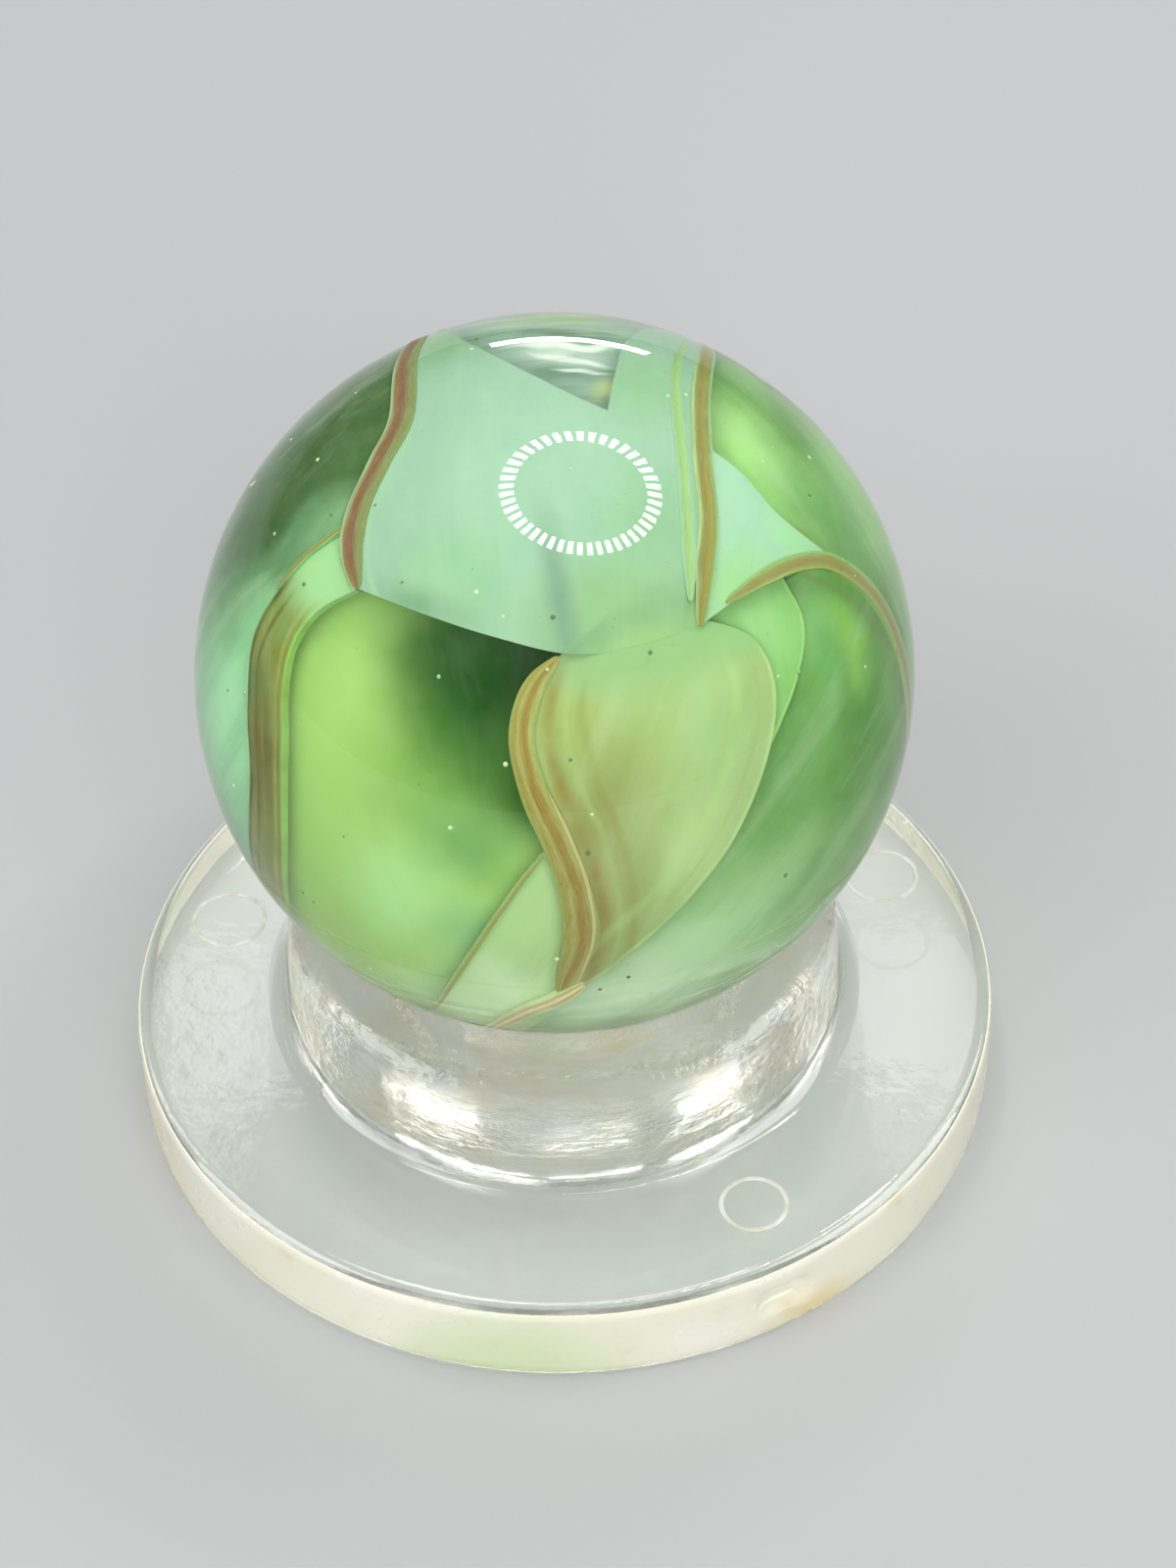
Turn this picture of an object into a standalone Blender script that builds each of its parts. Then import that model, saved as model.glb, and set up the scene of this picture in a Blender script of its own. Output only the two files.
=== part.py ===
"""Swirl glass ball on a clear moulded display stand.

Metres, +Z up. The origin is at the centre of the stand's flat underside, and the front is -Y.
The ball's coloured gathers are laid out on two faces of the ball. A face is the half of the ball
round an axis, and a point on it is (across, up): millimetres measured along the surface of a ball
of LAYOUT_RADIUS, from the point where the axis comes out. The layout grows with the real ball.
"""
import math

import bmesh
import bpy
from mathutils import Vector

MM = 0.001

# Driving dimensions of the stand
DISC_RADIUS = 10.2 * MM
DISC_THICKNESS = 2.25 * MM
DISC_EDGE_ROUND = 0.35 * MM
COLLAR_FOOT_RADIUS = 6.55 * MM
COLLAR_DRAFT = 0.15 * MM          # how much the collar's wall leans in over its height
COLLAR_HEIGHT = 2.85 * MM         # above the disc's top face
COLLAR_SHOULDER_ROUND = 0.5 * MM
COLLAR_FOOT_FILLET = 0.5 * MM
SEAT_WIDTH = 0.85 * MM            # dished mouth, measured across from the bore
BORE_RADIUS = 3.9 * MM
EJECTOR_MARK_RADIUS = 0.88 * MM
EJECTOR_MARK_DEPTH = 0.12 * MM
EJECTOR_ANGLES = (166, 21, -60)   # degrees from +X, anticlockwise from above
GATE_ANGLE = -62                  # degrees, on the outer wall
GATE_WIDTH = 1.2 * MM
GATE_HEIGHT = 0.7 * MM
GATE_DEPTH = 0.3 * MM

# Driving dimensions of the ball
BALL_RADIUS = 7.95 * MM
LAYOUT_RADIUS = 7.95 * MM         # ball that the glass layout's millimetres are measured on
FACE_TILT = 43.8                  # degrees, how far the front face's axis points up from level
PATCH_DEPTH = 1.1 * MM
VEIN_DEPTH = 1.3 * MM
VANE_DEPTH = 4.6 * MM
VEIN_WIDTH = 0.5 * MM
STRIPE_WIDTH = 0.8 * MM
END_TAPER = 0.45                  # width at a vein's ends, as a share of its full width
MITRE_LIMIT = 0.6                 # least cosine that a pocket's corner is mitred to
GAP = 0.3 * MM                    # between the ball and its seat, and round each gather
WEB = 0.3 * MM                    # clear glass left between the pockets of two sheets

# Places that follow from the sizes above
COLLAR_TOP = DISC_THICKNESS + COLLAR_HEIGHT
LAND_INNER = COLLAR_FOOT_RADIUS + COLLAR_FOOT_FILLET    # the disc's flat top face starts here
LAND_OUTER = DISC_RADIUS - DISC_EDGE_ROUND
EJECTOR_PITCH_RADIUS = (LAND_INNER + LAND_OUTER) / 2
SEAT_RADIUS = BALL_RADIUS + GAP
MOUTH_RADIUS = BORE_RADIUS + SEAT_WIDTH
BALL_CENTRE = Vector((0, 0, COLLAR_TOP + math.sqrt(SEAT_RADIUS ** 2 - MOUTH_RADIUS ** 2)))

# Centre lines of the veins, and the free edges of the sheets, on the ball's faces
LEFT_VEIN = ((-4.0, 9.6), (-3.4, 6.2), (-4.3, 3.9), (-4.3, 1.9))
RIGHT_VEIN = ((4.7, 9.2), (3.5, 5.0), (3.4, 2.8), (3.1, 0.8))
WINDOW_STRIPE = ((-5.4, 1.5), (-6.6, 0.3), (-6.9, -2.0), (-8.3, -5.8))
LEAF_VEIN = ((-0.2, -0.5), (-0.6, -1.8), (0.2, -4.0), (0.7, -6.0), (0.4, -7.9))
RIGHT_ARC = ((4.7, 0.8), (6.0, 1.6), (7.6, 1.5), (9.4, 0.1), (10.5, -2.2))
BOTTOM_SWIRL = ((0.1, -8.9), (-0.8, -9.2), (-1.6, -10.1), (-2.2, -11.4))
INNER_VANE = ((-4.2, 0.9), (-2.6, 0.3), (-1.2, -0.1))
LEAF_RIGHT = ((2.6, 0.1), (4.6, -0.5), (4.6, -2.6), (3.2, -5.2), (1.5, -7.4))
LEFT_SIDE = ((-8.8, 3.4), (-10.6, 1.0), (-11.6, -2.4), (-11.4, -6.0))
RIGHT_SIDE = ((9.3, -1.9), (9.9, -4.2), (8.6, -6.8), (6.4, -8.6))
UPPER_BOTTOM = ((-3.7, 1.9), (-1.6, 1.1), (0.3, 0.6), (2.5, 0.9))
UPPER_TOP = ((-3.4, 9.4), (-1.4, 7.8), (1.3, 5.6), (2.9, 6.6))
MINT_TOP = ((4.1, 4.9), (5.3, 3.8), (6.5, 2.9))
MINT_BOTTOM = ((3.8, 1.6), (4.9, 2.0), (6.3, 2.5))
REAR_VEIN = ((-3.6, 11.5), (-2.4, 8.0), (-3.4, 4.0), (-2.0, 0.0))
REAR_RIGHT = ((4.6, 11.0), (5.0, 7.5), (3.6, 4.0), (4.8, 0.6))
REAR_LEFT = ((-9.4, 8.0), (-8.0, 5.0), (-7.6, 2.0), (-6.6, -0.6))


# ---------------------------------------------------------------- scene and materials

def clear_scene():
    for item in list(bpy.data.objects):
        bpy.data.objects.remove(item, do_unlink=True)


def new_collection(name):
    group = bpy.data.collections.new(name)
    bpy.context.scene.collection.children.link(group)
    return group


def material(name, colour, roughness, alpha=1.0):
    made = bpy.data.materials.new(name)
    made.use_nodes = True
    shader = made.node_tree.nodes["Principled BSDF"]
    shader.inputs["Base Color"].default_value = (*colour, 1)
    shader.inputs["Roughness"].default_value = roughness
    shader.inputs["Metallic"].default_value = 0
    shader.inputs["Alpha"].default_value = alpha
    return made


def add_object(name, mesh, group, finish=None):
    made = bpy.data.objects.new(name, mesh)
    group.objects.link(made)
    if finish:
        mesh.materials.append(finish)
        mesh.shade_smooth()
        mesh.set_sharp_from_angle(angle=math.radians(35))
    return made


def mesh_from(bm, name):
    bmesh.ops.recalc_face_normals(bm, faces=bm.faces)
    if bm.calc_volume(signed=True) < 0:
        bmesh.ops.reverse_faces(bm, faces=bm.faces)
    mesh = bpy.data.meshes.new(name)
    bm.to_mesh(mesh)
    bm.free()
    return mesh


def add_cutter(name, mesh, group):
    cutter = add_object(name, mesh, group)
    cutter.hide_render = True
    cutter.display_type = "WIRE"
    return cutter


def cut(target, cutter, solver="EXACT"):
    step = target.modifiers.new(cutter.name, "BOOLEAN")
    step.operation = "DIFFERENCE"
    step.solver = solver
    step.object = cutter


# ---------------------------------------------------------------- display stand

def arc(centre_r, centre_z, radius, start, end, steps):
    """Points along an arc in the (r, z) half plane, with angles in degrees from +r."""
    points = []
    for i in range(steps + 1):
        angle = math.radians(start + (end - start) * i / steps)
        points.append((centre_r + radius * math.cos(angle), centre_z + radius * math.sin(angle)))
    return points


def stand_profile():
    """The stand's half section, from the dished mouth outwards and down, then in to the bore."""
    lean = COLLAR_DRAFT / COLLAR_HEIGHT
    shoulder_z = COLLAR_TOP - COLLAR_SHOULDER_ROUND
    fillet_z = DISC_THICKNESS + COLLAR_FOOT_FILLET
    wall_top = COLLAR_FOOT_RADIUS - lean * (shoulder_z - DISC_THICKNESS)
    wall_foot = COLLAR_FOOT_RADIUS - lean * (fillet_z - DISC_THICKNESS)
    round_z = DISC_THICKNESS - DISC_EDGE_ROUND
    points = []
    points += arc(wall_top - COLLAR_SHOULDER_ROUND, shoulder_z, COLLAR_SHOULDER_ROUND, 90, 0, 5)
    points += arc(wall_foot + COLLAR_FOOT_FILLET, fillet_z, COLLAR_FOOT_FILLET, 180, 270, 5)
    points += arc(LAND_OUTER, round_z, DISC_EDGE_ROUND, 90, 0, 4)
    points += [(DISC_RADIUS, 0), (BORE_RADIUS, 0)]
    bore_angle = -math.degrees(math.acos(BORE_RADIUS / SEAT_RADIUS))
    mouth_angle = -math.degrees(math.acos(MOUTH_RADIUS / SEAT_RADIUS))
    points += arc(0, BALL_CENTRE.z, SEAT_RADIUS, bore_angle, mouth_angle, 4)
    return points


def turned(name, profile, group, finish, steps):
    bm = bmesh.new()
    ring = [bm.verts.new((r, 0, z)) for r, z in profile]
    for start, end in zip(ring, ring[1:] + ring[:1]):
        bm.edges.new((start, end))
    mesh = bpy.data.meshes.new(name)
    bm.to_mesh(mesh)
    bm.free()
    made = bpy.data.objects.new(name, mesh)
    group.objects.link(made)
    mesh.materials.append(finish)
    screw = made.modifiers.new("turn", "SCREW")
    screw.axis = "Z"
    screw.steps = steps
    screw.render_steps = steps
    screw.use_merge_vertices = True
    screw.merge_threshold = 0.00001
    screw.use_smooth_shade = True
    return made


def ejector_cutter(angle, group):
    """A shallow round pocket left by an ejector pin in the disc's top face."""
    bm = bmesh.new()
    bmesh.ops.create_cone(bm, cap_ends=True, segments=24, radius1=EJECTOR_MARK_RADIUS,
                          radius2=EJECTOR_MARK_RADIUS, depth=2 * EJECTOR_MARK_DEPTH)
    cutter = add_cutter(f"ejector_{angle}", mesh_from(bm, "ejector"), group)
    turn = math.radians(angle)
    cutter.location = (EJECTOR_PITCH_RADIUS * math.cos(turn),
                       EJECTOR_PITCH_RADIUS * math.sin(turn), DISC_THICKNESS)
    return cutter


def gate_cutter(group):
    """The nick where the moulding's gate was cut off the outer wall, low on the disc."""
    bm = bmesh.new()
    bmesh.ops.create_cube(bm, size=1)
    bmesh.ops.scale(bm, vec=(2 * GATE_DEPTH, GATE_WIDTH, GATE_HEIGHT), verts=bm.verts)
    cutter = add_cutter("gate", mesh_from(bm, "gate"), group)
    turn = math.radians(GATE_ANGLE)
    cutter.rotation_euler = (0, 0, turn)
    cutter.location = (DISC_RADIUS * math.cos(turn), DISC_RADIUS * math.sin(turn),
                       DISC_THICKNESS / 2)
    return cutter


def display_stand(group, cutters):
    finish = material("clear_plastic", (0.86, 0.88, 0.86), 0.12, 0.5)
    stand = turned("display_stand", stand_profile(), group, finish, 72)
    for angle in EJECTOR_ANGLES:
        cut(stand, ejector_cutter(angle, cutters))
    cut(stand, gate_cutter(cutters))
    return stand


# ---------------------------------------------------------------- laying out the ball's glass

class Face:
    """One half of the ball: its axis, and the across and up directions seen from outside."""

    def __init__(self, axis, across):
        self.axis = axis.normalized()
        self.across = across.normalized()
        self.up = self.axis.cross(self.across)

    def direction(self, point):
        """Unit vector from the ball's centre to a point given in mm across and up."""
        flat = Vector((point[0], point[1]))
        turn = flat.length * MM / LAYOUT_RADIUS
        if flat.length < 1e-9:
            return self.axis.copy()
        side = (self.across * flat.x + self.up * flat.y) / flat.length
        return self.axis * math.cos(turn) + side * math.sin(turn)


def make_faces():
    tilt = math.radians(FACE_TILT)
    axis = Vector((0, -math.cos(tilt), math.sin(tilt)))
    return Face(axis, Vector((1, 0, 0))), Face(-axis, Vector((-1, 0, 0)))


def along(points, share):
    """A point on the smooth curve through the given points, at a share 0 to 1 of the way."""
    spans = len(points) - 1
    place = min(max(share, 0), 1) * spans
    i = min(int(place), spans - 1)
    t = place - i
    p1, p2 = Vector(points[i]), Vector(points[i + 1])
    p0 = Vector(points[i - 1]) if i > 0 else 2 * p1 - p2
    p3 = Vector(points[i + 2]) if i + 2 < len(points) else 2 * p2 - p1
    bend = 2 * p0 - 5 * p1 + 4 * p2 - p3
    swing = 3 * p1 - p0 - 3 * p2 + p3
    return (2 * p1 + (p2 - p0) * t + bend * t ** 2 + swing * t ** 3) / 2


def beside(points, distance, share):
    """A point to the right of a curve, looking along it, at a distance in m on the real ball."""
    before, after = along(points, share - 0.01), along(points, share + 0.01)
    heading = (after - before).normalized()
    step = distance * LAYOUT_RADIUS / BALL_RADIUS / MM
    return along(points, share) + Vector((heading.y, -heading.x)) * step


def bow(points, share):
    """How far a curve bows away from the straight line between its ends."""
    return along(points, share) - Vector(points[0]).lerp(Vector(points[-1]), share)


def ribbon(line, width):
    """Strip of a given full width along a centre line, narrowing smoothly at both ends."""
    def point(s, t):
        swell = END_TAPER + (1 - END_TAPER) * math.sin(math.pi * s) ** 0.5
        return beside(line, (t - 0.5) * width * swell, s)
    return point


def sheet(left, right):
    """Sheet between two curves, each a function of the share 0 to 1 from its top."""
    def point(s, t):
        return left(s).lerp(right(s), t)
    return point


def edge(points):
    return lambda share: along(points, share)


def edge_beside(points, distance, start=0):
    """Edge that runs beside a curve, from a share of its length to its end."""
    return lambda share: beside(points, distance, start + (1 - start) * share)


def outline(rows):
    """Grid places (i, j) once round the grid's edge."""
    last_i, last_j = len(rows) - 1, len(rows[0]) - 1
    loop = [(i, 0) for i in range(last_i)]
    loop += [(last_i, j) for j in range(last_j)]
    loop += [(i, last_j) for i in range(last_i, 0, -1)]
    loop += [(0, j) for j in range(last_j, 0, -1)]
    return loop


def grow(rows, amount):
    """Copy of a grid on the unit ball with its edge moved outwards by an angle, corners mitred."""
    loop = outline(rows)
    points = [rows[i][j] for i, j in loop]
    neighbours = list(zip(points[-1:] + points[:-1], points, points[1:] + points[:1]))
    turn = sum((here.cross(after) for _, here, after in neighbours), Vector((0, 0, 0)))
    side = 1 if turn.dot(sum(points, Vector((0, 0, 0)))) > 0 else -1
    grown = [list(row) for row in rows]
    for (i, j), (before, here, after) in zip(loop, neighbours):
        first = (here - before).cross(here).normalized()
        second = (after - here).cross(here).normalized()
        mitre = (first + second).normalized()
        push = side * amount / max(mitre.dot(second), MITRE_LIMIT)
        grown[i][j] = (here + mitre * push).normalized()
    return grown


def shell_mesh(name, rows, outer, inner):
    """Closed shell over a grid of unit directions, from an outer to an inner radius."""
    bm = bmesh.new()
    bmesh.ops.create_grid(bm, x_segments=len(rows) - 1, y_segments=len(rows[0]) - 1, size=1)
    bm.verts.ensure_lookup_table()
    count_i, count_j = len(rows), len(rows[0])
    for vert in bm.verts:
        i = round((vert.co.x + 1) / 2 * (count_i - 1))
        j = round((vert.co.y + 1) / 2 * (count_j - 1))
        vert.co = rows[i][j] * outer
    made = bmesh.ops.extrude_face_region(bm, geom=bm.faces[:])
    deep = [item for item in made["geom"] if isinstance(item, bmesh.types.BMVert)]
    bmesh.ops.scale(bm, vec=(inner / outer,) * 3, verts=deep)
    return mesh_from(bm, name)


def lay_gather(name, face, point, depth, finish, groups, body, cells=(10, 6)):
    """Make one gather of coloured glass, and cut the pocket that it lies in."""
    parts, cutters = groups
    rows = []
    for i in range(cells[0] + 1):
        rows.append([face.direction(point(i / cells[0], j / cells[1]))
                     for j in range(cells[1] + 1)])
    inner = BALL_RADIUS - depth
    gather = add_object(name, shell_mesh(name, rows, BALL_RADIUS, inner), parts, finish)
    gather.location = BALL_CENTRE
    wide = grow(rows, GAP / BALL_RADIUS)
    pocket = add_cutter(f"{name}_pocket", shell_mesh("pocket", wide, BALL_RADIUS + MM,
                                                     inner - GAP), cutters)
    pocket.location = BALL_CENTRE
    cut(body, pocket, "MANIFOLD")    # pockets share floors and graze each other, which EXACT loses
    return gather


# ---------------------------------------------------------------- glass ball

def clear_glass_body(group):
    bm = bmesh.new()
    bmesh.ops.create_uvsphere(bm, u_segments=56, v_segments=28, radius=BALL_RADIUS)
    finish = material("clear_glass", (0.80, 0.90, 0.78), 0.02, 0.35)
    body = add_object("clear_glass_body", mesh_from(bm, "clear_glass_body"), group, finish)
    body.location = BALL_CENTRE
    return body


def front_sheets(face, groups, body):
    clear_of_vein = VEIN_WIDTH / 2 + GAP
    clear_of_stripe = STRIPE_WIDTH / 2 + GAP
    aqua = material("aqua_glass", (0.33, 0.62, 0.44), 0.05)
    mint = material("mint_glass", (0.36, 0.66, 0.42), 0.05)
    olive = material("olive_glass", (0.38, 0.50, 0.20), 0.05)
    green = material("green_glass", (0.20, 0.50, 0.18), 0.05)

    def upper(s, t):
        left = beside(LEFT_VEIN, -clear_of_vein, 0.12 + 0.86 * s)
        right = beside(RIGHT_VEIN, clear_of_vein, 0.36 + 0.60 * s)
        return left.lerp(right, t) + bow(UPPER_TOP, t) * (1 - s) + bow(UPPER_BOTTOM, t) * s

    lay_gather("upper_aqua_band", face, upper, PATCH_DEPTH, aqua, groups, body, (12, 10))
    lay_gather("left_aqua_band", face,
               sheet(edge(LEFT_SIDE), edge_beside(WINDOW_STRIPE, clear_of_stripe)),
               PATCH_DEPTH, aqua, groups, body, (10, 5))
    lay_gather("right_mint_patch", face, sheet(edge(MINT_TOP), edge(MINT_BOTTOM)),
               PATCH_DEPTH, mint, groups, body, (6, 5))
    lay_gather("leaf_vane", face,
               sheet(edge_beside(LEAF_VEIN, -clear_of_vein), edge(LEAF_RIGHT)),
               PATCH_DEPTH, olive, groups, body, (12, 6))
    lay_gather("lower_right_green_band", face,
               sheet(edge_beside(LEAF_RIGHT, -(2 * GAP + WEB), 0.3), edge(RIGHT_SIDE)),
               PATCH_DEPTH, green, groups, body, (10, 7))


def front_veins(face, groups, body):
    tan = material("tan_glass", (0.42, 0.27, 0.12), 0.05)
    brown = material("brown_glass", (0.30, 0.22, 0.07), 0.05)
    deep_green = material("deep_green_glass", (0.05, 0.22, 0.04), 0.05)
    veins = (
        ("left_tan_vein", LEFT_VEIN, VEIN_WIDTH, VEIN_DEPTH, tan),
        ("right_tan_vein", RIGHT_VEIN, VEIN_WIDTH, VEIN_DEPTH, tan),
        ("leaf_tan_vein", LEAF_VEIN, VEIN_WIDTH, VEIN_DEPTH, tan),
        ("window_tan_stripe", WINDOW_STRIPE, STRIPE_WIDTH, VEIN_DEPTH, brown),
        ("right_tan_arc", RIGHT_ARC, VEIN_WIDTH, VEIN_DEPTH, tan),
        ("bottom_tan_swirl", BOTTOM_SWIRL, VEIN_WIDTH, VEIN_DEPTH, tan),
        ("inner_green_vane", INNER_VANE, VEIN_WIDTH, VANE_DEPTH, deep_green),
    )
    for name, line, width, depth, finish in veins:
        lay_gather(name, face, ribbon(line, width), depth, finish, groups, body, (12, 2))


def rear_glass(face, groups, body):
    clear_of_vein = VEIN_WIDTH / 2 + GAP
    aqua = material("rear_aqua_glass", (0.33, 0.62, 0.44), 0.05)
    green = material("rear_green_glass", (0.20, 0.50, 0.18), 0.05)
    tan = material("rear_tan_glass", (0.42, 0.27, 0.12), 0.05)
    lay_gather("rear_tan_vein", face, ribbon(REAR_VEIN, VEIN_WIDTH), VEIN_DEPTH, tan,
               groups, body, (12, 2))
    lay_gather("rear_aqua_band", face,
               sheet(edge_beside(REAR_VEIN, -clear_of_vein), edge(REAR_RIGHT)),
               PATCH_DEPTH, aqua, groups, body, (10, 8))
    lay_gather("rear_green_band", face,
               sheet(edge(REAR_LEFT), edge_beside(REAR_VEIN, clear_of_vein)),
               PATCH_DEPTH, green, groups, body, (10, 5))


def main():
    clear_scene()
    parts = new_collection("swirl_ball_on_stand")
    cutters = new_collection("cutters")
    display_stand(parts, cutters)
    body = clear_glass_body(parts)
    front, rear = make_faces()
    front_sheets(front, (parts, cutters), body)
    front_veins(front, (parts, cutters), body)
    rear_glass(rear, (parts, cutters), body)


main()
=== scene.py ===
"""Looks of a swirl glass ball resting on a clear moulded display stand.

Lengths are millimetres until a mesh is made, and metres in the scene. The ball's glass is laid out
as in the CAD part: a Face is the half of the ball round an axis, and a layout point (across, up) is
millimetres along the ball's surface from that axis. Sheets and veins lie just under the surface of
the clear glass, each at its own depth, so that they overlap as they do in a real ball.
"""
import math
import random

import bmesh
import bpy
import numpy as np
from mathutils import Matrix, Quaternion, Vector


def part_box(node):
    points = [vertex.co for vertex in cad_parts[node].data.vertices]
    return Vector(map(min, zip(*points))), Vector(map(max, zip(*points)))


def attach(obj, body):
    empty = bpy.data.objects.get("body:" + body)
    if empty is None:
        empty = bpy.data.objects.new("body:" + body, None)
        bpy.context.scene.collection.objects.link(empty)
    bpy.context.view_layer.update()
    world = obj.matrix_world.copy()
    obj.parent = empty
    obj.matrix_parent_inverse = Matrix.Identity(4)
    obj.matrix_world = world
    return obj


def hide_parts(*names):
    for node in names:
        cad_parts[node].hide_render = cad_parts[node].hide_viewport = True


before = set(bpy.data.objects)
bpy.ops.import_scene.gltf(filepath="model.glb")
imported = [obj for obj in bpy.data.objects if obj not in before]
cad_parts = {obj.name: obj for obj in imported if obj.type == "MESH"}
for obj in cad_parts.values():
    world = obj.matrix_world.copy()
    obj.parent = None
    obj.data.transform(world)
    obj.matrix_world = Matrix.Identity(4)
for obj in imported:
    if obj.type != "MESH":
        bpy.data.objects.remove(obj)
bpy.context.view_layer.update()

MM = 0.001
LAYOUT_SPAN = 32.0      # mm of layout that the sheets' UV map covers, centred on the face's axis

# ------------------------------ sizes read from the frame

ball_low, ball_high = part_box("clear_glass_body")
BALL_RADIUS = (ball_high.z - ball_low.z) / 2 / MM
BALL_CENTRE = Vector((0, 0, (ball_high.z + ball_low.z) / 2 / MM))
stand_low, stand_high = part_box("display_stand")
DISC_RADIUS = (stand_high.x - stand_low.x) / 2 / MM
COLLAR_TOP = stand_high.z / MM

# Sizes that the stand's box doesn't give, the same as in the part's source
DISC_THICKNESS = 2.25
COLLAR_FOOT_RADIUS = 6.55
COLLAR_LEAN = 0.15      # how much the collar's wall leans in over its height
BORE_RADIUS = 3.9
GATE_ANGLE = -62        # degrees from +X, anticlockwise from above

# Sizes of the visual model alone
DISC_EDGE = 0.38        # rounding of the disc's upper edge
WALL_TOP = 1.7          # where the straight part of the disc's wall ends
STAND_STEPS = 240       # steps round the stand's axis
EJECTOR_RING_RADIUS = 0.86
EJECTOR_MARKS = ((166, 1.0), (21, 1.0), (-60, 0.86))    # angle in degrees, and relative size


# ------------------------------ small helpers

def linear(colour):
    """Linear red, green, blue and alpha from a colour's display values, 0 to 255."""
    return *((c / 255 / 12.92) if c <= 10 else ((c / 255 + 0.055) / 1.055) ** 2.4
             for c in colour), 1


def smooth_step(value, low, high):
    share = np.clip((value - low) / (high - low), 0, 1)
    return share * share * (3 - 2 * share)


def add_object(name, data):
    made = bpy.data.objects.new(name, data)
    bpy.context.scene.collection.objects.link(made)
    return made


def face_along(made, direction, roll=0.0):
    """Turns a lamp or the camera to look along a direction."""
    aimed = direction.to_track_quat("-Z", "Y")
    made.rotation_mode = "QUATERNION"
    made.rotation_quaternion = Quaternion(-direction, roll) @ aimed


def add_piece(name, mesh, body, slot, finish, *nodes):
    """A piece of the object, which rides on a body and replaces CAD nodes."""
    made = add_object(name, mesh)
    mesh.materials.append(finish)
    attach(made, body)
    if nodes:
        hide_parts(*nodes)
    return made


def closed_mesh(name, points, faces, sharp=40):
    """Mesh from points in mm, faces outwards, smooth but for edges of more than sharp degrees."""
    mesh = bpy.data.meshes.new(name)
    mesh.from_pydata((np.asarray(points) * MM).tolist(), [], faces)
    bm = bmesh.new()
    bm.from_mesh(mesh)
    if bm.calc_volume(signed=True) < 0:
        bmesh.ops.reverse_faces(bm, faces=bm.faces)
    bm.to_mesh(mesh)
    bm.free()
    mesh.shade_smooth()
    mesh.set_sharp_from_angle(angle=math.radians(sharp))
    return mesh


# ------------------------------ materials

PALE_STREAK = (222, 242, 206)
DARK_STREAK = (70, 116, 52)


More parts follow.
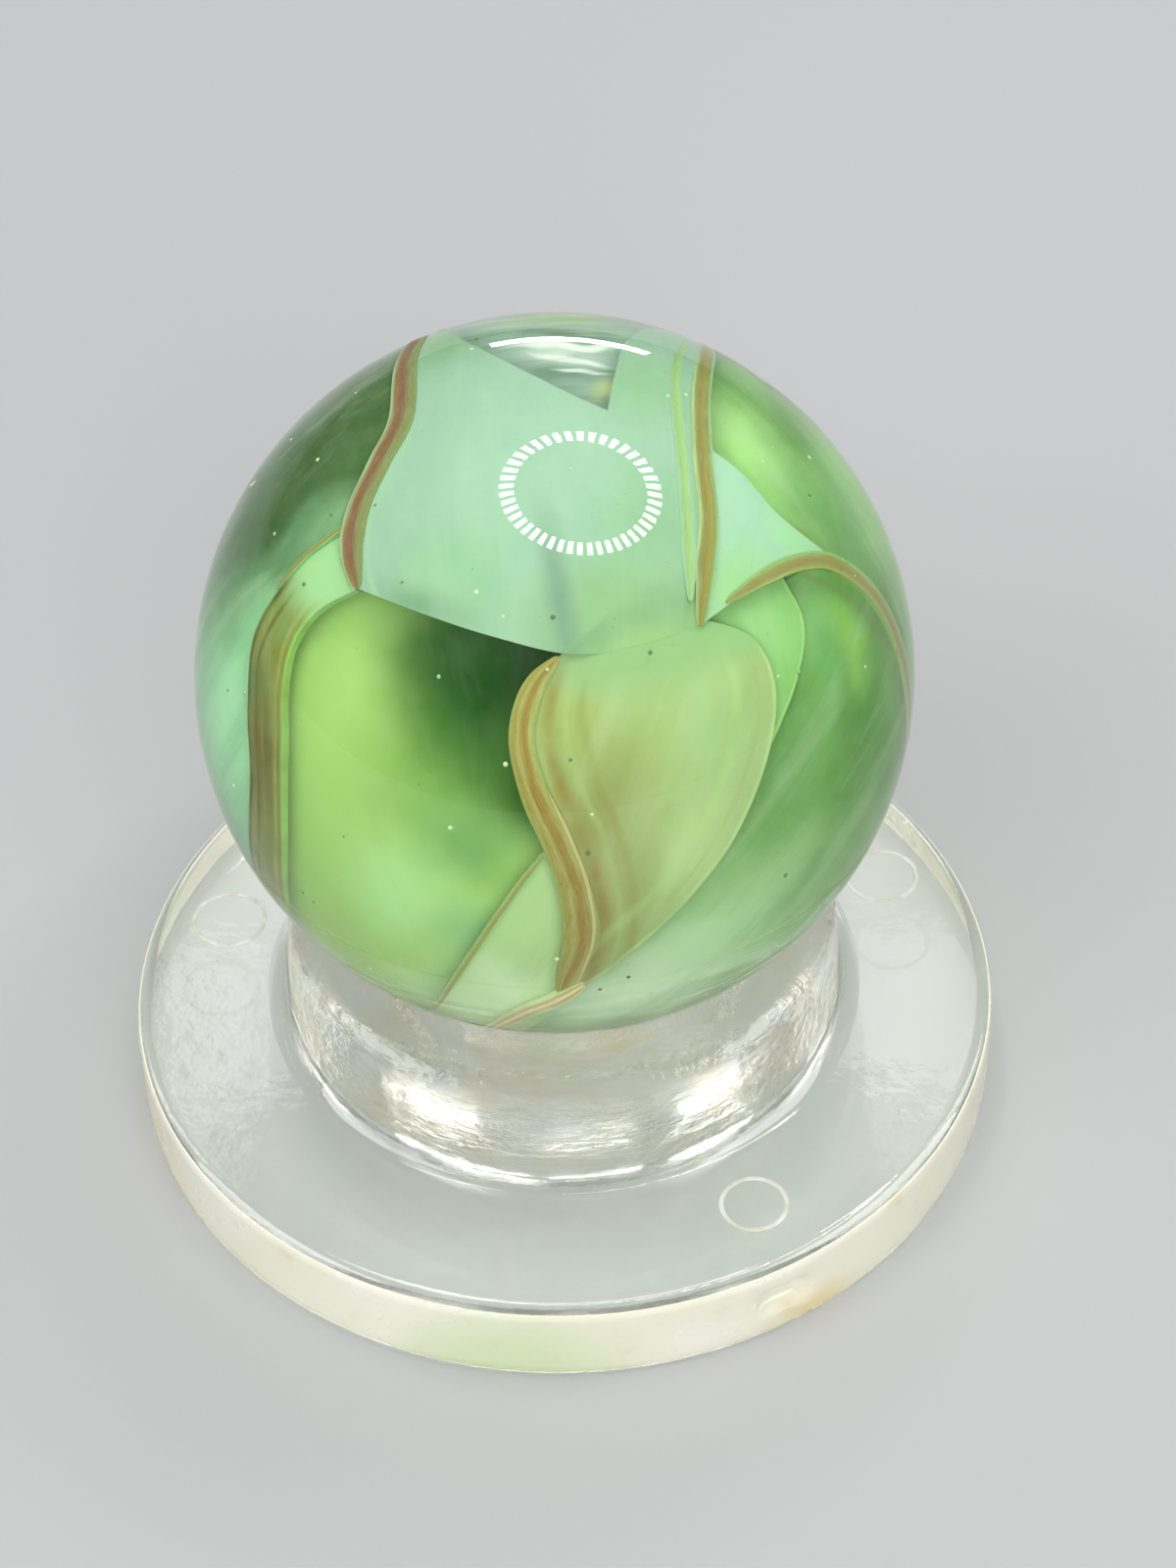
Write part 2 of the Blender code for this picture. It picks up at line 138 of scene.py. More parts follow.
class Paint:
    """A Principled material built up node by node."""

    def __init__(self, name):
        self.material = bpy.data.materials.new(name)
        self.material.use_nodes = True
        self.tree = self.material.node_tree
        self.shader = self.tree.nodes["Principled BSDF"]

    def node(self, kind, settings=None, **inputs):
        """New node. An input goes by its name, with _ for a space, or by its place: i0, i1."""
        made = self.tree.nodes.new("ShaderNode" + kind)
        for key, value in (settings or {}).items():
            setattr(made, key, value)
        for key, value in inputs.items():
            place = int(key[1:]) if key[0] == "i" else key.replace("_", " ")
            self.put(made.inputs[place], value)
        return made

    def put(self, socket, value):
        """Links an output, or sets a value. Three numbers are a colour in display values."""
        if isinstance(value, bpy.types.NodeSocket):
            self.tree.links.new(value, socket)
        elif socket.type == "RGBA" and len(value) == 3:
            socket.default_value = linear(value)
        else:
            socket.default_value = value

    def set(self, **values):
        """Sets inputs of the Principled shader, to values or to other nodes' outputs."""
        for key, value in values.items():
            self.put(self.shader.inputs[key.replace("_", " ")], value)

    def math(self, operation, a, b=0.0):
        return self.node("Math", {"operation": operation}, i0=a, i1=b).outputs[0]

    def vector(self, operation, a, **inputs):
        """Output of a Vector Math node: its number for a length, or else its vector."""
        made = self.node("VectorMath", {"operation": operation}, i0=a, **inputs)
        return made.outputs["Value" if operation == "LENGTH" else "Vector"]

    def uv(self, name):
        return self.node("UVMap", {"uv_map": name}).outputs[0]

    def apart(self, vector):
        return self.node("SeparateXYZ", None, Vector=vector).outputs

    def layout(self):
        """Layout coordinates in mm, from the sheet's UV map."""
        half = LAYOUT_SPAN / 2
        return self.vector("MULTIPLY_ADD", self.uv("layout"), i1=(LAYOUT_SPAN, LAYOUT_SPAN, 0),
                           i2=(-half, -half, 0))

    def blobs(self, place, shade, blobs):
        """Soft patches of colour laid over a shade, as glass_paint says."""
        for across, up, reach, tint, *more in blobs:
            direction, length, core = more + [0, 1, 0][len(more):]
            shifted = self.vector("SUBTRACT", place, i1=(across, up, 0))
            far = self.vector("LENGTH", self.turned(shifted, direction - 90, length))
            share = self.range(far, reach, reach * core, smooth=True)
            shade = self.mix(share, shade, tint)
        return shade

    def border(self, name):
        """Distance in mm from a border of the sheet, from its UV maps."""
        pair = self.apart(self.uv("sides" if name in ("left", "right") else "ends"))
        return self.math("MULTIPLY", pair[0 if name in ("left", "top") else 1], LAYOUT_SPAN)

    def object_mm(self):
        """The object's own coordinates in mm."""
        return self.vector("SCALE", self.node("TexCoord").outputs["Object"], Scale=1 / MM)

    def turned(self, place, degrees, stretch):
        """Coordinates turned so that X runs across the flow, with Y stretched along it."""
        turned = self.node("VectorRotate", {"rotation_type": "Z_AXIS"}, Vector=place,
                           Angle=math.radians(-degrees)).outputs[0]
        return self.vector("MULTIPLY", turned, i1=(1, 1 / stretch, 1))

    def noise(self, place, scale, detail=3.0, rough=0.55, distortion=0.0):
        made = self.node("TexNoise", None, Vector=place, Scale=scale, Detail=detail,
                         Roughness=rough, Distortion=distortion)
        return made.outputs[0]

    def range(self, value, low, high, to_low=0.0, to_high=1.0, smooth=False):
        made = self.node("MapRange", {"interpolation_type": "SMOOTHSTEP" if smooth else "LINEAR"},
                         Value=value, From_Min=low, From_Max=high, To_Min=to_low, To_Max=to_high)
        return made.outputs[0]

    def mix(self, share, a, b):
        made = self.node("Mix", {"data_type": "RGBA"}, i0=share)
        self.put(made.inputs[6], a)
        self.put(made.inputs[7], b)
        return made.outputs[2]

    def let_lamps_through(self, tint):
        """Shadow rays pass straight through, tinted, so that lamps light what lies behind."""
        clear = self.node("BsdfTransparent", None, Color=tint)
        ray = self.node("LightPath").outputs["Is Shadow Ray"]
        both = self.node("MixShader", None, i0=ray, i1=self.shader.outputs[0],
                         i2=clear.outputs[0])
        self.tree.links.new(both.outputs[0], self.tree.nodes["Material Output"].inputs[0])

    def bump(self, height, strength, distance):
        made = self.node("Bump", None, Height=height, Strength=strength, Distance=distance)
        self.set(Normal=made.outputs[0])


def glass_paint(name, base, blobs=(), threads=(), cover=(), flow=90, stretch=6, streak=0.14,
                streak_scale=1.1, wobble=0.5, cloud=0.08):
    """Coloured glass: a base colour, soft patches of other colours, threads and streaks.

    Each blob is (across, up, reach, colour), which may go on with its direction in degrees, its
    length over its width, and the share of its reach that is one colour. Each thread runs along
    a border of the sheet: (border, distance from it in mm, width in mm, colour, strength).
    Cover is more blobs, laid over the threads.
    """
    paint = Paint(name)
    place = paint.layout()
    drift = paint.noise(place, 0.35, 2.0)
    drift_up = paint.noise(paint.turned(place, 90, 1), 0.35, 2.0)
    nudge = paint.node("CombineXYZ", None, X=paint.range(drift, 0.3, 0.7, -wobble, wobble),
                       Y=paint.range(drift_up, 0.3, 0.7, -wobble, wobble)).outputs[0]
    moved = paint.vector("ADD", place, i1=nudge)
    shade = paint.blobs(moved, base, blobs)
    streaks = paint.noise(paint.turned(place, flow - 90, stretch), streak_scale, 4.0, 0.6, 0.4)
    shade = paint.mix(paint.range(streaks, 0.52, 0.72, 0.0, streak), shade, PALE_STREAK)
    shade = paint.mix(paint.range(streaks, 0.48, 0.28, 0.0, streak), shade, DARK_STREAK)
    clouds = paint.noise(place, 0.9, 5.0, 0.6)
    shade = paint.mix(paint.range(clouds, 0.35, 0.7, 0.0, cloud), shade, PALE_STREAK)
    if threads:
        fray = paint.noise(paint.turned(place, flow - 90, 4), 1.6, 3.0, 0.6)
        sway = paint.range(fray, 0.3, 0.7, -0.035, 0.035)
        patchy = paint.range(paint.noise(place, 0.8, 2.0), 0.3, 0.6, 0.35, 1.0)
    for border, distance, width, tint, strength in threads:
        away = paint.math("ADD", paint.border(border), sway)
        off = paint.math("ABSOLUTE", paint.math("SUBTRACT", away, distance))
        share = paint.range(off, width / 2, 0.0, 0.0, strength, smooth=True)
        shade = paint.mix(paint.math("MULTIPLY", share, patchy), shade, tint)
    shade = paint.blobs(moved, shade, cover)
    specks = paint.noise(paint.object_mm(), 6.0, 2.0)
    shade = paint.mix(paint.range(specks, 0.72, 0.8, 0.0, 0.35), shade, DARK_STREAK)
    rough = paint.range(clouds, 0.3, 0.7, 0.3, 0.5)
    paint.set(Base_Color=shade, Specular_IOR_Level=0.1, Roughness=rough)
    return paint.material


def vein_paint(name, *stops):
    """Vein glass in fine threads: the colours from its left side to its right, in even steps.

    The vein's UV map holds its length in X and the share of its width in Y.
    """
    paint = Paint(name)
    length, width, _ = paint.apart(paint.uv("layout"))
    stretched = paint.node("CombineXYZ", None, X=paint.math("MULTIPLY", length, 16.0),
                           Y=paint.math("MULTIPLY", width, 5.0)).outputs[0]
    threads = paint.noise(stretched, 1.3, 4.0, 0.6, 0.5)
    place = paint.math("ADD", width, paint.range(threads, 0.3, 0.7, -0.08, 0.08))
    ramp = paint.node("ValToRGB", None, Fac=place)
    marks = ramp.color_ramp.elements
    marks[0].position, marks[0].color = 0.02, linear(stops[0])
    marks[1].position, marks[1].color = 0.98, linear(stops[-1])
    for i, tint in enumerate(stops[1:-1], 1):
        marks.new(i / (len(stops) - 1)).color = linear(tint)
    fine = paint.noise(stretched, 4.0, 3.0, 0.6)
    shade = paint.mix(paint.range(fine, 0.55, 0.7, 0.0, 0.15), ramp.outputs[0], PALE_STREAK)
    shade = paint.mix(paint.range(fine, 0.45, 0.3, 0.0, 0.3), shade, (92, 74, 40))
    rough = paint.range(threads, 0.3, 0.7, 0.3, 0.5)
    paint.set(Base_Color=shade, Specular_IOR_Level=0.1, Roughness=rough)
    return paint.material


def clear_glass_paint():
    paint = Paint("clear_glass")
    place = paint.object_mm()
    swirl = paint.noise(place, 0.5, 3.0, 0.5, 0.8)
    tint = paint.mix(paint.range(swirl, 0.3, 0.7), (244, 250, 243), (238, 247, 236))
    smears = paint.range(paint.noise(place, 1.6, 5.0, 0.6), 0.6, 0.8, 0.0, 0.03)
    paint.set(Base_Color=tint, Transmission_Weight=1.0, IOR=1.5, Roughness=smears)
    paint.let_lamps_through((246, 252, 244))
    return paint.material


def clear_plastic_paint():
    """Clear moulded plastic: a wrinkled, faintly amber collar, and a frosted, cream outer wall."""
    paint = Paint("clear_plastic")
    place = paint.object_mm()
    x, y, z = paint.apart(place)
    flat = paint.node("CombineXYZ", None, X=x, Y=y).outputs[0]
    radius = paint.vector("LENGTH", flat)
    wall = paint.range(radius, DISC_RADIUS - 0.16, DISC_RADIUS - 0.04)
    patchy = paint.noise(place, 0.45, 3.0)
    frost = paint.math("MULTIPLY", wall, paint.range(patchy, 0.3, 0.65, 0.35, 1.0))
    tint = paint.mix(frost, (250, 252, 249), (252, 250, 242))
    amber = paint.range(paint.noise(place, 0.7, 5.0, 0.65), 0.40, 0.62, 0.1, 0.9)
    collar = paint.range(z, DISC_THICKNESS + 0.1, DISC_THICKNESS + 0.9)
    tint = paint.mix(paint.math("MULTIPLY", amber, collar), tint, (247, 237, 208))
    fine = paint.range(paint.noise(place, 9.0, 3.0), 0.3, 0.7, 0.0, 0.03)
    scuffs = paint.range(paint.noise(place, 3.2, 6.0, 0.7), 0.60, 0.72, 0.0, 0.16)
    rough = paint.math("ADD", fine, paint.math("MULTIPLY", frost, 0.28))
    rough = paint.math("ADD", rough, scuffs)
    paint.set(Base_Color=tint, Transmission_Weight=0.95, IOR=1.49, Roughness=rough)
    level = paint.vector("MULTIPLY", place, i1=(0.7, 0.7, 2.6))
    wrinkles = paint.math("MULTIPLY", paint.noise(level, 2.6, 4.0, 0.6), 0.55)
    ripple = paint.math("ADD", paint.noise(place, 1.1, 4.0, 0.55), wrinkles)
    waves = paint.range(collar, 0.0, 1.0, 0.08, 1.0)
    paint.bump(paint.math("MULTIPLY", ripple, waves), 0.6, 0.00015)
    paint.let_lamps_through((156, 162, 156))
    return paint.material


# ------------------------------ layout on the ball

class Face:
    """One half of the ball, with its layout directions as seen from outside."""

    def __init__(self, axis, across):
        self.axis = np.array(axis) / np.linalg.norm(axis)
        self.across = np.array(across, float)
        self.up = np.cross(self.axis, self.across)

    def directions(self, layout):
        """Unit directions from the ball's centre for an array of layout points."""
        reach = np.linalg.norm(layout, axis=-1, keepdims=True)
        turn = reach / BALL_RADIUS
        side = layout[..., :1] * self.across + layout[..., 1:] * self.up
        return self.axis * np.cos(turn) + side / np.maximum(reach, 1e-9) * np.sin(turn)


FACE_TILT = math.radians(43.8)
FRONT = Face((0, -math.cos(FACE_TILT), math.sin(FACE_TILT)), (1, 0, 0))
REAR = Face((0, math.cos(FACE_TILT), -math.sin(FACE_TILT)), (-1, 0, 0))


def along(points, share):
    """Points on the smooth curve through the given points, at shares 0 to 1 of the way."""
    points = np.asarray(points, float)
    padded = np.vstack([2 * points[0] - points[1], points, 2 * points[-1] - points[-2]])
    place = np.clip(np.atleast_1d(share), 0, 1) * (len(points) - 1)
    i = np.minimum(place.astype(int), len(points) - 2)
    t = (place - i)[:, None]
    p0, p1, p2, p3 = (padded[i + k] for k in range(4))
    bend = 2 * p0 - 5 * p1 + 4 * p2 - p3
    swing = 3 * p1 - p0 - 3 * p2 + p3
    return (2 * p1 + (p2 - p0) * t + bend * t ** 2 + swing * t ** 3) / 2


def between(left, right, rows, columns):
    """Layout grid between two curves that run downwards."""
    down = np.linspace(0, 1, rows)
    over = np.linspace(0, 1, columns)[None, :, None]
    return (1 - over) * along(left, down)[:, None] + over * along(right, down)[:, None]


def bow(curve, count):
    """How far a curve strays from the straight line between its ends."""
    share = np.linspace(0, 1, count)
    over = share[:, None]
    return along(curve, share) - (1 - over) * curve[0] - over * np.array(curve[-1])


def four_sided(top, bottom, left, right, rows, columns):
    """Layout grid that fills the space between four curves. Left and right run downwards."""
    down = np.linspace(0, 1, rows)[:, None, None]
    sides = between(left, right, rows, columns)
    return sides + (1 - down) * bow(top, columns) + down * bow(bottom, columns)


def solid_grid(name, outer, inner, **maps):
    """Closed mesh between two grids of points, with UV maps that give a pair for each place."""
    rows, columns = outer.shape[:2]
    points = np.vstack([outer.reshape(-1, 3), inner.reshape(-1, 3)])

    def at(i, j, layer):
        return (layer * rows + i) * columns + j

    faces = []
    for i in range(rows - 1):
        for j in range(columns - 1):
            faces.append((at(i, j, 0), at(i + 1, j, 0), at(i + 1, j + 1, 0), at(i, j + 1, 0)))
            faces.append((at(i, j, 1), at(i, j + 1, 1), at(i + 1, j + 1, 1), at(i + 1, j, 1)))
    last = columns - 1
    for i in range(rows - 1):
        faces.append((at(i, 0, 0), at(i, 0, 1), at(i + 1, 0, 1), at(i + 1, 0, 0)))
        faces.append((at(i, last, 0), at(i + 1, last, 0), at(i + 1, last, 1), at(i, last, 1)))
    last = rows - 1
    for j in range(columns - 1):
        faces.append((at(0, j, 0), at(0, j + 1, 0), at(0, j + 1, 1), at(0, j, 1)))
        faces.append((at(last, j, 0), at(last, j, 1), at(last, j + 1, 1), at(last, j + 1, 0)))
    mesh = closed_mesh(name, points, faces)
    corners = np.zeros(len(mesh.loops), int)
    mesh.loops.foreach_get("vertex_index", corners)
    for key, pairs in maps.items():
        flat = np.vstack([pairs.reshape(-1, 2)] * 2)
        mesh.uv_layers.new(name=key).data.foreach_set("uv", flat[corners].ravel())
    return mesh


def gaps(layout, start, end):
    """Distances from two opposite borders of a grid of layout points, as shares of the span."""
    pair = [np.linalg.norm(layout - border, axis=-1) for border in (start, end)]
    return np.stack(pair, -1) / LAYOUT_SPAN


def sheet(name, face, layout, finish, slot, *nodes, depth, thickness=0.16):
    """Sheet of glass under the ball's surface. Depth is a number, or a grid of mm."""
    depth = np.broadcast_to(np.asarray(depth, float), layout.shape[:2])[..., None]
    directions = face.directions(layout)
    centre = np.array(BALL_CENTRE)
    outer = centre + directions * (BALL_RADIUS - depth)
    inner = centre + directions * (BALL_RADIUS - depth - thickness)
    mesh = solid_grid(name, outer, inner, layout=layout / LAYOUT_SPAN + 0.5,
                      sides=gaps(layout, layout[:, :1], layout[:, -1:]),
                      ends=gaps(layout, layout[:1], layout[-1:]))
    add_piece(name, mesh, "ball", slot, finish, *nodes)


def smooth_knots(knots):
    return np.convolve(np.pad(knots, 1, mode="edge"), (0.25, 0.5, 0.25), mode="valid")


def vein(name, face, line, finish, slot, *nodes, width, depth, thickness, seed):
    """Ribbon of vein glass along a layout line, with a crowned underside and an uneven edge.

    Width is (at its start, at its end) in mm, and both ends taper.
    """
    rows, columns, knot_count, waver = 90, 9, 12, 0.12
    taper_share, tip_share, crown_share = 1 / 6, 0.15, 0.3
    share = np.linspace(0, 1, rows)
    centre_line = along(line, share)
    heading = np.gradient(centre_line, axis=0)
    heading /= np.linalg.norm(heading, axis=1, keepdims=True)
    right = np.stack([heading[:, 1], -heading[:, 0]], 1)
    knots = np.random.default_rng(seed).uniform(-1, 1, (2, knot_count))
    knot_shares = np.arange(knot_count) / (knot_count - 1)
    uneven = [np.interp(share, knot_shares, smooth_knots(k)) * waver for k in knots]
    inwards = np.clip(np.minimum(share, 1 - share) / taper_share, 0, 1)
    ends = tip_share + (1 - tip_share) * np.sqrt(inwards)
    across = np.linspace(-0.5, 0.5, columns)
    half = np.where(across < 0, 1 + uneven[0][:, None], 1 + uneven[1][:, None])
    offset = across[None] * half * np.interp(share, (0, 1), width)[:, None] * ends[:, None]
    layout = centre_line[:, None] + right[:, None] * offset[..., None]
    directions = face.directions(layout)
    thick = thickness * (1 - crown_share * (2 * across) ** 2)[None, :, None]
    centre = np.array(BALL_CENTRE)
    outer = centre + directions * (BALL_RADIUS - depth)
    inner = centre + directions * (BALL_RADIUS - depth - thick)
    length = np.concatenate([[0], np.cumsum(np.linalg.norm(np.diff(centre_line, axis=0), axis=1))])
    uv = np.stack(np.broadcast_arrays(length[:, None] / LAYOUT_SPAN, across[None] + 0.5), -1)
    mesh = solid_grid(name, outer, inner, layout=uv)
    add_piece(name, mesh, "ball", slot, finish, *nodes)


# ------------------------------ the ball

LEFT_VEIN = ((-4.3, 11.8), (-3.9, 10.2), (-3.7, 8.2), (-3.4, 6.0), (-3.8, 4.7), (-4.2, 3.6),
             (-4.3, 2.7), (-4.1, 1.7))
RIGHT_VEIN = ((5.6, 11.4), (4.6, 9.0), (3.8, 6.6), (3.5, 4.6), (3.45, 3.1), (3.3, 2.0),
              (3.1, 0.7))
LEAF_VEIN = ((0.15, 0.1), (-0.35, -0.5), (-0.62, -1.5), (-0.4, -2.7), (0.05, -3.8),
             (0.4, -5.0), (0.5, -6.4), (0.0, -8.3))
LEAF_RIGHT = ((3.0, 0.9), (4.3, 0.5), (4.9, -0.5), (4.8, -2.0), (4.1, -3.9), (3.1, -5.4),
              (1.7, -7.0), (0.2, -8.5))
RIGHT_ARC = ((3.7, 1.2), (4.6, 1.75), (5.6, 2.2), (6.7, 2.35), (8.0, 1.9), (9.0, 1.1),
             (9.9, -0.1), (10.8, -1.8), (11.6, -4.4))
STRIPE_LEFT = ((-4.5, 3.1), (-5.4, 2.65), (-6.3, 2.0), (-7.2, 0.9), (-7.5, -0.8),
               (-7.8, -2.8), (-9.2, -5.6), (-11.0, -8.6))
STRIPE_RIGHT = ((-4.2, 1.7), (-5.2, 1.3), (-5.9, 0.55), (-6.2, -0.5), (-6.35, -1.9),
                (-6.85, -4.1), (-7.6, -6.0), (-9.0, -9.0))

# Colours of the glass. All colours here are display values, but for the world's and ring lamp's.
AQUA = (150, 182, 161)
# Painted shade: the dark green that stands for shadow inside the ball, under the sheets' edges
PAINTED_SHADE_GREEN = (26, 92, 0)
TAN = (146, 124, 74)
ROSE_BROWN = (134, 104, 76)
OLIVE = (136, 146, 90)
CREAM = (196, 194, 134)


def quad_ball_points(cells):
    """Points and faces of a ball built from a cube's six sides, each cut into cells squared."""
    bm = bmesh.new()
    bmesh.ops.create_cube(bm, size=2)
    bmesh.ops.subdivide_edges(bm, edges=bm.edges, cuts=cells - 1, use_grid_fill=True)
    points = np.array([v.co for v in bm.verts])
    faces = [[v.index for v in f.verts] for f in bm.faces]
    bm.free()
    even = np.tan(points * math.pi / 4)
    return even / np.linalg.norm(even, axis=1, keepdims=True), faces


def clear_ball():
    """The clear glass, a touch out of round as pressed and rolled glass is, with small pits."""
    out_of_round, undersize, pit_count, pit_depth = 0.012, 0.015, 14, 0.03
    directions, faces = quad_ball_points(72)
    x, y, z = directions.T
    swell = np.sin(2.1 * x + 0.7) * np.cos(1.7 * y) + np.sin(2.6 * z - 0.4) * x
    swell *= out_of_round
    radius = BALL_RADIUS - undersize + swell - swell.max()
    rng = random.Random(7)
    for _ in range(pit_count):
        spot = np.array([rng.gauss(0, 1) for _ in range(3)])
        spot /= np.linalg.norm(spot)
        size = rng.uniform(0.10, 0.20)
        away = np.arccos(np.clip(directions @ spot, -1, 1)) * BALL_RADIUS
        radius -= pit_depth * (1 - smooth_step(away, 0, size))
    points = np.array(BALL_CENTRE) + directions * radius[:, None]
    mesh = closed_mesh("ball_clear_glass", points, faces)
    add_piece("ball_clear_glass", mesh, "ball", "clear_glass", clear_glass_paint(),
              "clear_glass_body")


def front_sheets():
    """The coloured sheets that make the side in view."""
    aqua = glass_paint("aqua_glass", AQUA, (
        (-3.2, 9.4, 2.8, (132, 172, 130)),
        (2.4, 6.6, 2.2, (140, 178, 142)),
        (-2.0, 1.6, 2.0, (142, 180, 145)),
        (1.7, 0.7, 2.1, (140, 176, 132), 0, 1.4, 0.4),
        (2.0, 0.3, 0.8, (150, 184, 128), 8, 2.0, 0.3),
        (2.2, 3.0, 2.0, (139, 176, 143)),
        (0.15, 1.4, 0.5, (120, 152, 132), 96, 5),
        (-2.6, 1.3, 0.5, (124, 162, 132), 160, 4),
    ), (
        ("left", 0.45, 0.35, (160, 194, 158), 0.7),
        ("right", 0.30, 0.30, (136, 164, 118), 0.6),
    ), flow=92, stretch=7, streak=0.07, wobble=0.15)
    top = (LEFT_VEIN[0], (-2.9, 9.9), (-2.0, 8.6), (-1.0, 7.5), (-0.1, 6.7), (0.7, 6.1),
           (1.4, 5.7), (1.8, 5.5), (1.75, 7.2), (2.2, 8.7), (3.4, 10.2), RIGHT_VEIN[0])
    bottom = ((-4.15, 1.65), (-2.6, 1.0), (-1.2, 0.5), (0.35, 0.12), (1.7, 0.3), (3.0, 0.7))
    rows = 64
    layout = four_sided(top, bottom, LEFT_VEIN, RIGHT_VEIN, rows, 72)
    # The right half of its lower edge sinks towards the leaf, where the two colours merge.
    near_edge = smooth_step(np.linspace(0, 1, rows), 0.80, 1.0)[:, None]
    sink = near_edge * smooth_step(layout[..., 0], 0.3, 1.1)
    sheet("upper_aqua_sheet", FRONT, layout, aqua, "aqua_glass", "upper_aqua_band",
          depth=0.06 + 0.15 * sink)

    left = glass_paint("left_aqua_glass", (144, 204, 152), (
        (-8.6, -1.0, 2.0, (176, 228, 186), 85, 2.0),
        (-11.0, -5.0, 3.0, (112, 160, 120)),
        (-9.0, 2.3, 2.6, (112, 162, 112), 30, 1.3),
        (-6.9, 5.0, 3.6, (66, 102, 54), 40, 1.3, 0.3),
        (-4.6, 6.6, 3.8, (64, 100, 44), 70, 1.6, 0.4),
        (-9.4, 5.0, 2.4, (78, 118, 74), 50, 1.6),
        (-6.6, 8.4, 1.6, (98, 112, 66), 30, 2.0),
        (-5.0, 3.1, 1.3, (122, 164, 120), 25, 1.8),
        (-6.2, 3.3, 0.8, (106, 146, 104), 30, 3.0),
    ), (
        ("right", 0.10, 0.35, (150, 200, 150), 0.5),
    ), flow=35, stretch=6, streak=0.28, streak_scale=0.8, wobble=0.5)
    outer = ((-5.8, 12.6), (-8.8, 10.2), (-11.3, 6.8), (-12.8, 3.0), (-13.4, -1.4),
             (-13.4, -5.0), (-13.0, -9.0))
    inner = LEFT_VEIN[:6] + STRIPE_LEFT
    sheet("left_aqua_sheet", FRONT, between(outer, inner, 110, 44), left, "aqua_glass",
          "left_aqua_band", depth=0.12)

    mint = glass_paint("mint_glass", (164, 200, 176), (
        (3.9, 1.4, 1.5, (156, 198, 146)),
        (5.6, 2.8, 1.2, (160, 206, 160)),
    ), (
        ("top", 0.05, 0.2, (196, 238, 196), 0.7),
    ), flow=60, streak=0.08)
    mint_top = ((3.5, 5.0), (4.4, 4.3), (5.3, 3.3), (6.8, 2.4))
    mint_bottom = ((3.1, 0.7), (4.0, 1.3), (5.2, 2.0), (6.6, 2.3))
    sheet("right_mint_sheet", FRONT, between(mint_top, mint_bottom, 40, 40), mint, "mint_glass",
          "right_mint_patch", depth=0.08)

    leaf = glass_paint("olive_glass", (164, 186, 124), (
        (3.4, -1.6, 1.8, (164, 192, 134), 100, 1.6),
        (1.9, -2.3, 1.6, (164, 186, 118), 80, 1.4),
        (0.9, -3.2, 1.9, (150, 158, 92), 75, 1.6),
        (3.0, -4.4, 1.3, (188, 208, 148), 60, 1.8),
        (1.0, -5.8, 1.7, (156, 160, 94), 80, 1.8),
        (0.5, -1.3, 1.1, (162, 178, 104), 100, 1.5),
    ), (
        ("left", 1.30, 0.40, (146, 144, 78), 0.5),
        ("left", 0.95, 0.30, (178, 196, 130), 0.5),
        ("left", 0.55, 0.60, (150, 132, 64), 0.8),
        ("left", 0.36, 0.14, (186, 180, 112), 0.6),
        ("right", 0.05, 0.20, (190, 222, 156), 0.65),
        ("right", 0.45, 0.22, (160, 170, 100), 0.25),
        ("right", 0.95, 0.50, (178, 212, 142), 0.5),
    ), (
        (1.6, 0.5, 1.6, (150, 184, 132), 0, 1.9, 0.3),
        (3.9, 0.9, 1.3, (150, 190, 130), 150, 1.2, 0.3),
    ), flow=72, stretch=8, streak=0.12, wobble=0.2)
    leaf_top = ((0.15, 0.1), (1.0, 0.7), (2.0, 1.0), (3.0, 0.9))
    leaf_low = ((0.0, -8.3), (0.1, -8.4), (0.2, -8.5))
    layout = four_sided(leaf_top, leaf_low, LEAF_VEIN, LEAF_RIGHT, 84, 48)
    sheet("leaf_sheet", FRONT, layout, leaf, "olive_glass", "leaf_vane", depth=0.22)

    fold = glass_paint("right_fold_glass", (146, 202, 118), (
        (4.6, 0.6, 1.6, (160, 212, 138)),
    ), (
        ("right", 0.04, 0.16, (176, 222, 146), 0.8),
    ), flow=100, stretch=8, streak=0.12)
    fold_right = ((5.4, 1.9), (5.9, 0.9), (5.75, -0.2), (5.2, -1.5), (4.6, -2.6))
    fold_left = ((3.1, 0.9), (3.9, 0.3), (4.4, -0.4), (4.5, -1.2), (4.3, -2.4))
    sheet("right_fold_sheet", FRONT, between(fold_left, fold_right, 40, 20), fold, "green_glass",
          depth=0.5, thickness=0.14)

    lower = glass_paint("green_glass", (118, 173, 84), (
        (6.2, 1.0, 2.2, (142, 198, 122)),
        # Painted light: the pale blobs at (4.2, -7.4) and (1.6, -9.2) are pale glass made paler
        # still for light that the stand sends up into the ball's bottom.
        (4.2, -7.4, 3.6, (186, 226, 170), 30, 1.5),
        (8.8, -2.0, 2.8, (82, 144, 46), 100, 1.4, 0.2),
        (5.6, -2.4, 1.9, (108, 162, 86), 70, 1.8),
        (7.6, 0.4, 0.9, (140, 196, 84), 120, 2.6),
        (6.6, -0.6, 0.6, (112, 176, 100), 100, 4.0),
        (1.6, -9.2, 3.0, (220, 244, 208), 20, 1.5),
        (7.4, -5.6, 1.0, (120, 172, 96), 45, 3.0),
    ), (
        ("right", 0.6, 0.5, (150, 160, 96), 0.5),
    ), flow=52, stretch=9, streak=0.20, streak_scale=0.9)
    right_edge = ((6.6, 2.4), (9.0, 1.4), (11.0, -1.6), (12.4, -5.0), (12.6, -8.4),
                  (9.8, -12.0), (5.0, -14.0), (0.0, -14.6))
    left_edge = ((3.6, 0.9), (3.9, 0.0), (4.2, -1.4), (3.4, -3.4), (2.4, -4.8), (1.0, -6.6),
                 (-0.6, -8.2), (-3.4, -11.4))
    sheet("lower_right_green_sheet", FRONT, between(left_edge, right_edge, 70, 50), lower,
          "green_glass", "lower_right_green_band", depth=0.75, thickness=0.2)

